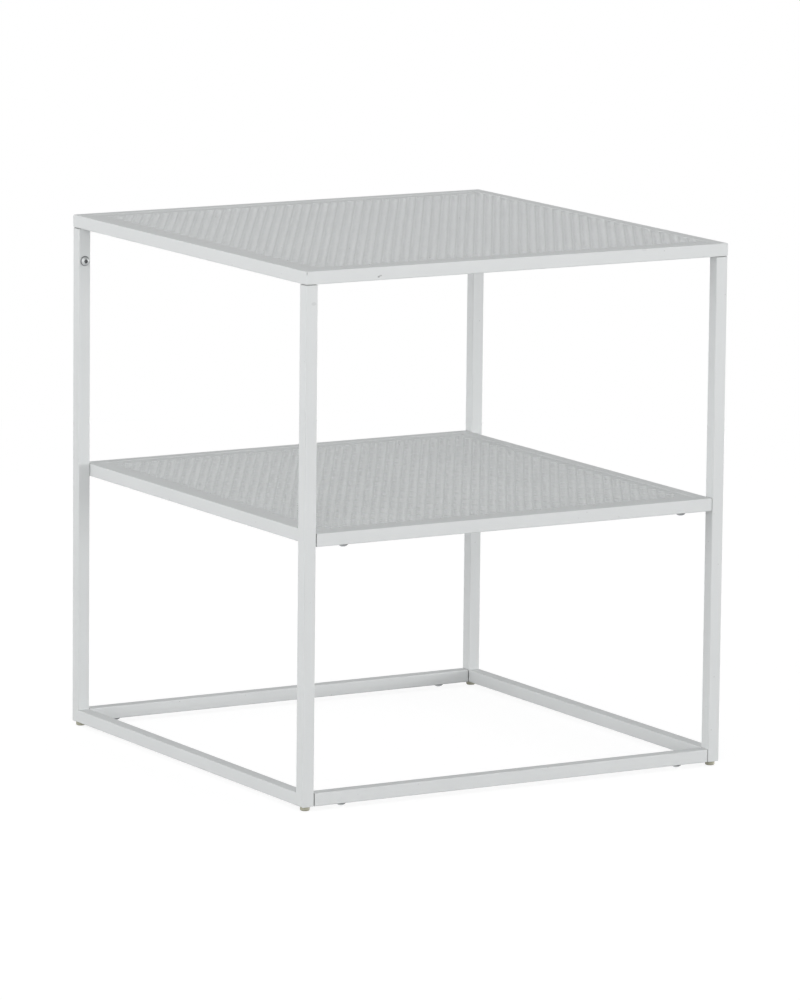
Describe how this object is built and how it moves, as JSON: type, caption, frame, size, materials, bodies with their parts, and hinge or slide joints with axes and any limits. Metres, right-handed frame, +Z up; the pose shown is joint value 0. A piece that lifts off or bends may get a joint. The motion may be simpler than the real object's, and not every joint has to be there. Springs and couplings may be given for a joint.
{
  "type": "side table",
  "caption": "Square side table of thin white powder-coated steel tube with a perforated top and a perforated lower shelf, on small plastic glides.",
  "frame": {"origin": "on the floor, at the middle of the table's footprint", "axes": "+X to the right and +Y to the back, seen from the front, +Z up"},
  "size_m": [0.5, 0.5, 0.55],
  "materials": {
    "powder_coated_steel": "satin",
    "zinc_plated_steel": "satin",
    "beige_plastic": "matte"
  },
  "bodies": {
    "root": {"leg_front_left": "powder_coated_steel", "leg_front_right": "powder_coated_steel", "leg_back_left": "powder_coated_steel", "leg_back_right": "powder_coated_steel", "base_left_rail": "powder_coated_steel", "base_right_rail": "powder_coated_steel", "base_front_rail": "powder_coated_steel", "base_back_rail": "powder_coated_steel", "top_front_rail": "powder_coated_steel", "top_back_rail": "powder_coated_steel", "top_left_rail": "powder_coated_steel", "top_right_rail": "powder_coated_steel", "top_panel": "powder_coated_steel", "shelf_front_rail": "powder_coated_steel", "shelf_back_rail": "powder_coated_steel", "shelf_left_rail": "powder_coated_steel", "shelf_right_rail": "powder_coated_steel", "shelf_panel": "powder_coated_steel", "top_spigot_front_left": "powder_coated_steel", "top_spigot_front_right": "powder_coated_steel", "top_spigot_back_left": "powder_coated_steel", "top_spigot_back_right": "powder_coated_steel", "shelf_spigot_front_left": "powder_coated_steel", "shelf_spigot_front_right": "powder_coated_steel", "shelf_spigot_back_left": "powder_coated_steel", "shelf_spigot_back_right": "powder_coated_steel", "base_spigot_front_left": "powder_coated_steel", "base_spigot_front_right": "powder_coated_steel", "base_spigot_back_left": "powder_coated_steel", "base_spigot_back_right": "powder_coated_steel", "foot_front_left": "beige_plastic", "foot_front_right": "beige_plastic", "foot_back_left": "beige_plastic", "foot_back_right": "beige_plastic", "top_screws": "zinc_plated_steel", "shelf_screws": "zinc_plated_steel", "base_screws": "zinc_plated_steel"}
  },
  "joints": []
}
